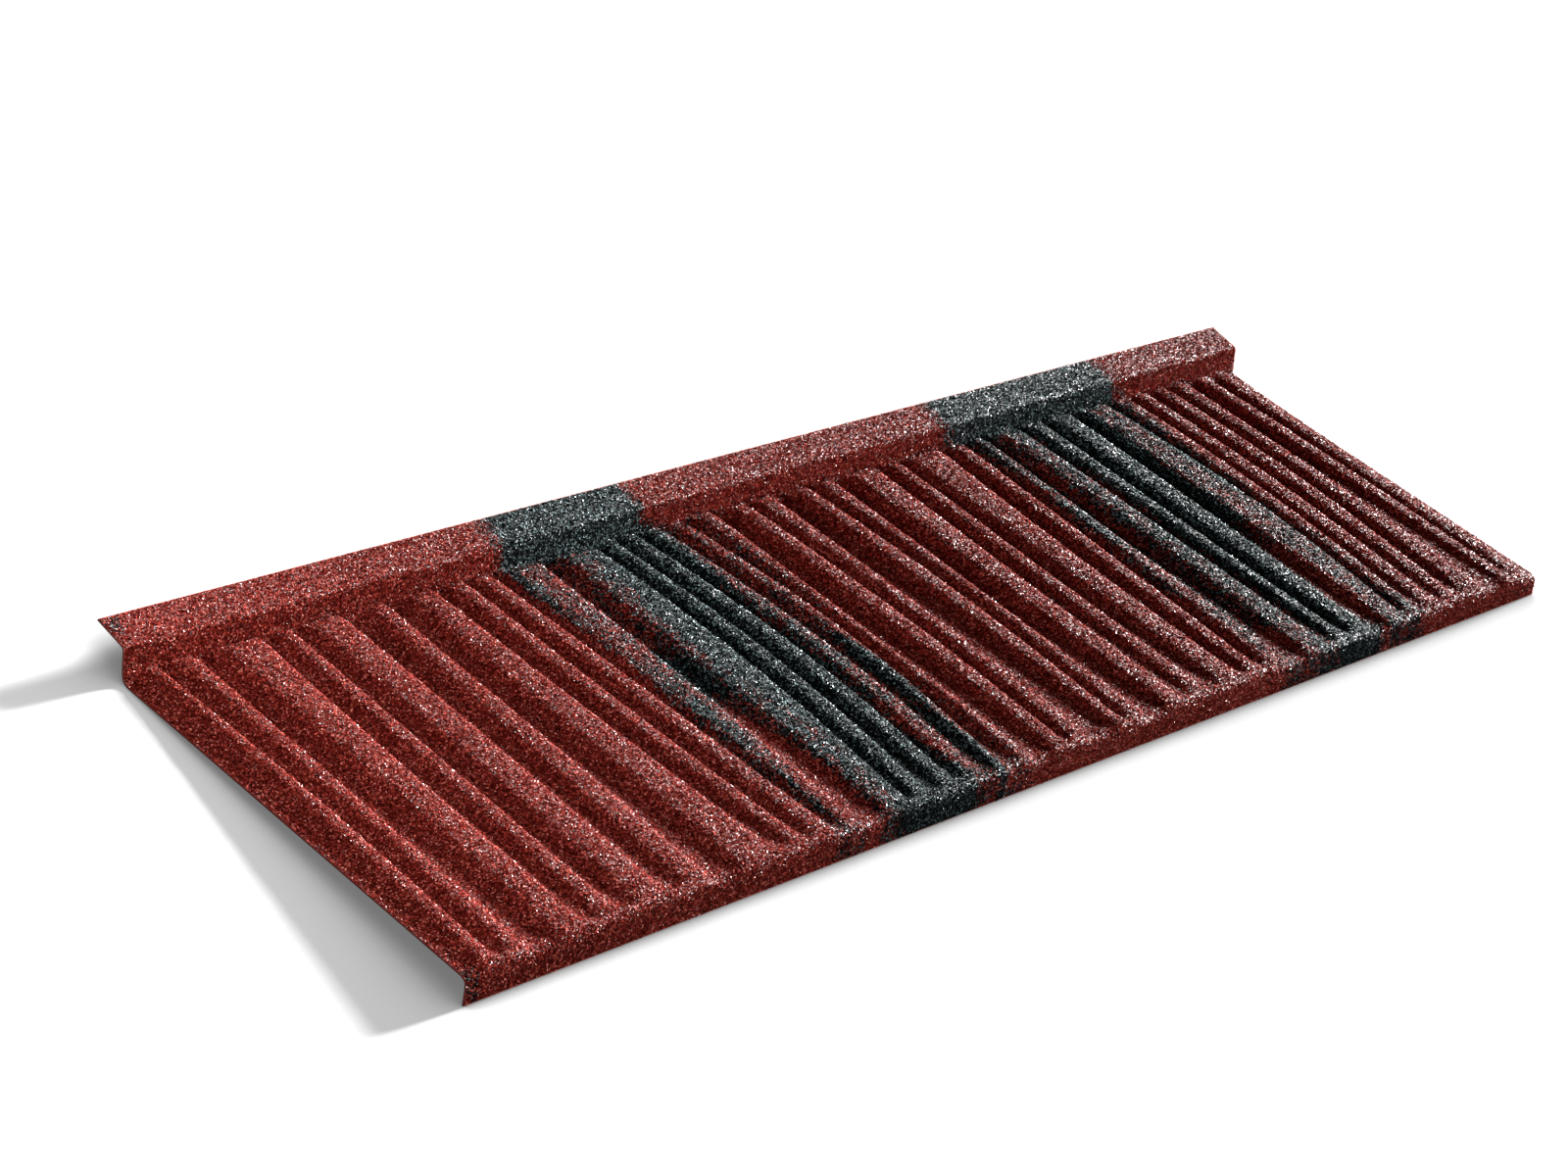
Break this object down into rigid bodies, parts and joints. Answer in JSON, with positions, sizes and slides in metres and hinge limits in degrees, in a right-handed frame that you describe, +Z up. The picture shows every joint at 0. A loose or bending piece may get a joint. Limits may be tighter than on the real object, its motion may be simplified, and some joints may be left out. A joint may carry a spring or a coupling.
{
  "type": "tile effect metal roofing sheet",
  "caption": "Pressed steel roofing sheet with a stone chip face, a timber shake relief, a raised back flange for the batten and a turned down nose.",
  "frame": {"origin": "on the floor, below the centre of the sheet's box, as it lies at rest on its nose edge and the heel of its step", "axes": "+X along the sheet's length, +Y from the nose to the back flange, +Z up"},
  "size_m": [1.33, 0.4004, 0.0286],
  "materials": {
    "stone_coated_steel": "matte stone chips, dark red with two blotched black bands"
  },
  "bodies": {
    "root": {"roof_sheet": "stone_coated_steel"}
  },
  "joints": []
}
